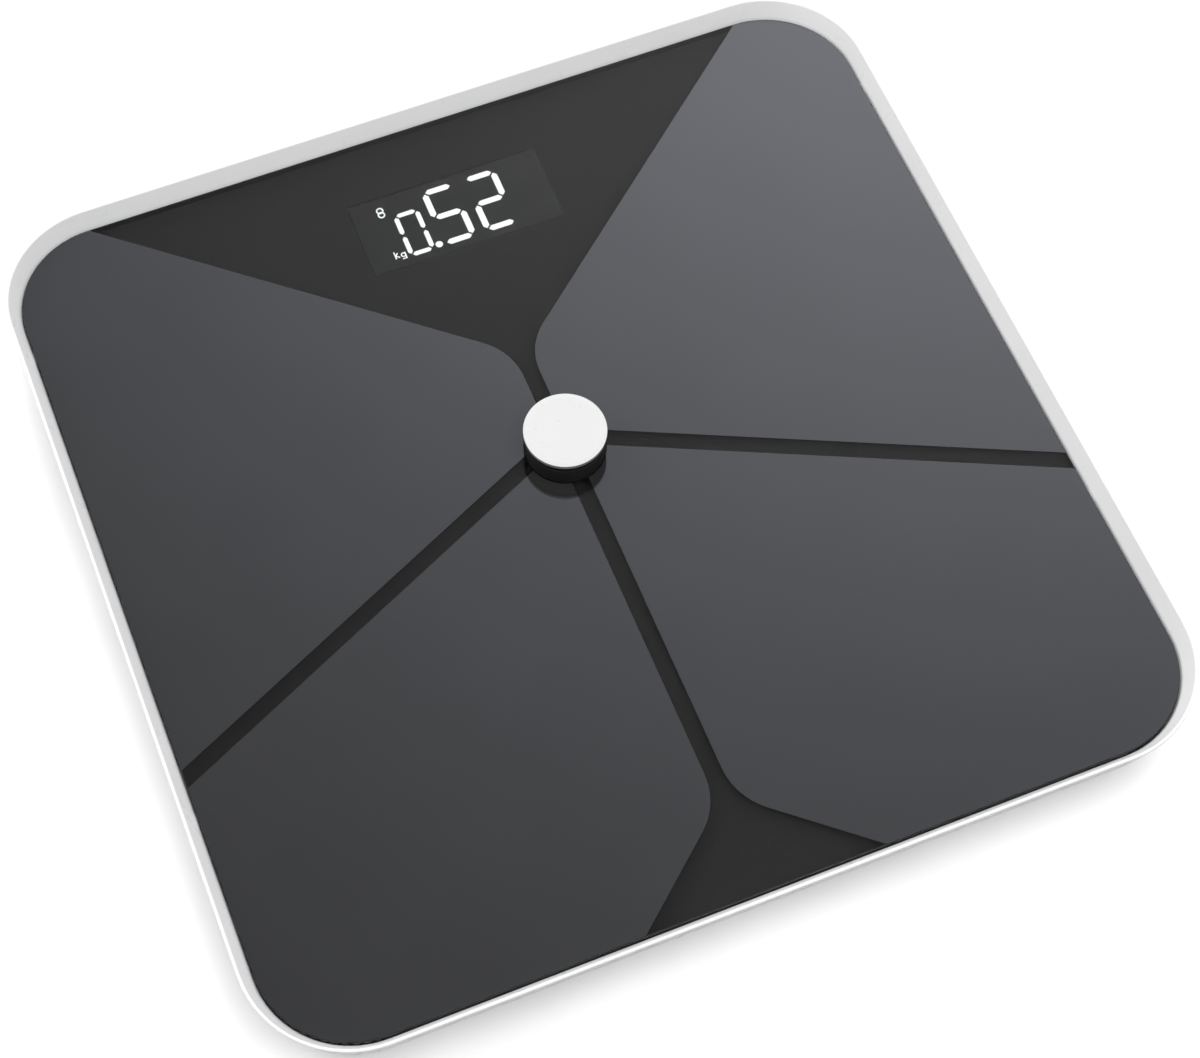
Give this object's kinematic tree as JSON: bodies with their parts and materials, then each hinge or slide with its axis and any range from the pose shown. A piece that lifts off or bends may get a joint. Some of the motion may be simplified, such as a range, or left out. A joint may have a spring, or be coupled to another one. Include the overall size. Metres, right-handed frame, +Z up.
{
  "type": "digital bathroom scale",
  "caption": "Square glass body-composition scale: dark platform with electrode pattern, raised white lip, central press button and hidden digit display.",
  "frame": {"origin": "Centre of the footprint on the floor, under the middle of the platform.", "axes": "+Z up, +Y from the user's heels towards the display, +X to the user's right."},
  "size_m": [0.28, 0.28, 0.034],
  "materials": {
    "white_abs": "fine moulded texture",
    "rim_white": "satin silver-white paint",
    "tempered_glass": "polished, black behind",
    "black_ink": "screen-printed ink",
    "foam": "closed-cell foam",
    "conductive_film": "transparent conductive coating over black",
    "foil": "thin foil",
    "smoked_film": "smoked film",
    "black_abs": "fine moulded texture",
    "lit_led": "lit",
    "circuit_board": "solder mask",
    "chip_black": "moulded epoxy",
    "zinc_steel": "zinc plated",
    "switch_brown": "moulded",
    "cap_white": "satin",
    "grey_abs": "fine moulded texture",
    "spring_steel": "nickel plated",
    "black_rubber": "moulded",
    "foot_rubber": "moulded, matt",
    "silicone": "translucent, matt",
    "battery_wrap": "plastic wrap",
    "cell_steel": "stamped",
    "holder_abs": "moulded",
    "gauge_foil": "etched foil",
    "wire_pvc": "flexible sleeve"
  },
  "bodies": {
    "tray": {"bottom_cover": "white_abs", "top_frame": "rim_white", "glass_platform": "tempered_glass", "glass_print": "black_ink", "foam_tape": "foam", "electrode_back_left": "conductive_film", "electrode_back_right": "conductive_film", "electrode_front_left": "conductive_film", "electrode_front_right": "conductive_film", "electrode_leads": "foil", "display_window": "smoked_film", "display_housing": "black_abs", "button_collar": "black_abs", "collar_nut": "black_abs", "power_switch": "black_abs", "unit_switch": "black_abs", "display_digits": "lit_led", "main_board": "circuit_board", "button_board": "circuit_board", "board_parts": "chip_black", "board_screws": "zinc_steel", "holder_screws": "zinc_steel", "case_screws": "zinc_steel", "battery_springs": "spring_steel", "battery_plates": "spring_steel", "collar_gasket": "black_rubber", "battery_1": "battery_wrap", "battery_2": "battery_wrap", "battery_3": "battery_wrap", "load_cell_back_left": "cell_steel", "load_cell_back_right": "cell_steel", "load_cell_front_left": "cell_steel", "load_cell_front_right": "cell_steel", "cell_holder_back_left": "holder_abs", "cell_holder_back_right": "holder_abs", "cell_holder_front_left": "holder_abs", "cell_holder_front_right": "holder_abs", "strain_gauges": "gauge_foil", "wiring": "wire_pvc"},
    "power_button": {"button_cap": "cap_white", "button_stem": "grey_abs", "button_clip": "spring_steel", "switch_plunger": "switch_brown", "button_spring": "spring_steel"},
    "unit_button": {"unit_button": "grey_abs"},
    "battery_door": {"battery_door": "white_abs"},
    "foot_back_left": {"foot_cup_back_left": "grey_abs", "foot_pad_back_left": "foot_rubber", "foot_bush_back_left": "silicone"},
    "foot_back_right": {"foot_cup_back_right": "grey_abs", "foot_pad_back_right": "foot_rubber", "foot_bush_back_right": "silicone"},
    "foot_front_left": {"foot_cup_front_left": "grey_abs", "foot_pad_front_left": "foot_rubber", "foot_bush_front_left": "silicone"},
    "foot_front_right": {"foot_cup_front_right": "grey_abs", "foot_pad_front_right": "foot_rubber", "foot_bush_front_right": "silicone"}
  },
  "joints": [
    {"name": "power_button_press", "type": "slide", "parent": "tray", "child": "power_button", "axis": [0, 0, -1], "range_m": [0, 0.0012], "stiffness_N_per_m": 1000, "springref_m": -0.0025, "deforming": ["button_spring"]},
    {"name": "unit_button_press", "type": "slide", "parent": "tray", "child": "unit_button", "axis": [0, 0, 1], "range_m": [0, 0.0007], "stiffness_N_per_m": 120, "springref_m": -0.005},
    {"name": "battery_door_swing", "type": "hinge", "parent": "tray", "child": "battery_door", "pos_m": [0, -0.05, 0.0054], "axis": [1, 0, 0], "range_deg": [0, 95]},
    {"name": "foot_back_left_load", "type": "slide", "parent": "tray", "child": "foot_back_left", "axis": [0, 0, 1], "range_m": [0, 0.0005], "stiffness_N_per_m": 2500, "springref_m": -0.0022, "deforming": ["foot_bush_back_left"]},
    {"name": "foot_back_right_load", "type": "slide", "parent": "tray", "child": "foot_back_right", "axis": [0, 0, 1], "range_m": [0, 0.0005], "stiffness_N_per_m": 2500, "springref_m": -0.0022, "deforming": ["foot_bush_back_right"]},
    {"name": "foot_front_left_load", "type": "slide", "parent": "tray", "child": "foot_front_left", "axis": [0, 0, 1], "range_m": [0, 0.0005], "stiffness_N_per_m": 2500, "springref_m": -0.0022, "deforming": ["foot_bush_front_left"]},
    {"name": "foot_front_right_load", "type": "slide", "parent": "tray", "child": "foot_front_right", "axis": [0, 0, 1], "range_m": [0, 0.0005], "stiffness_N_per_m": 2500, "springref_m": -0.0022, "deforming": ["foot_bush_front_right"]}
  ]
}
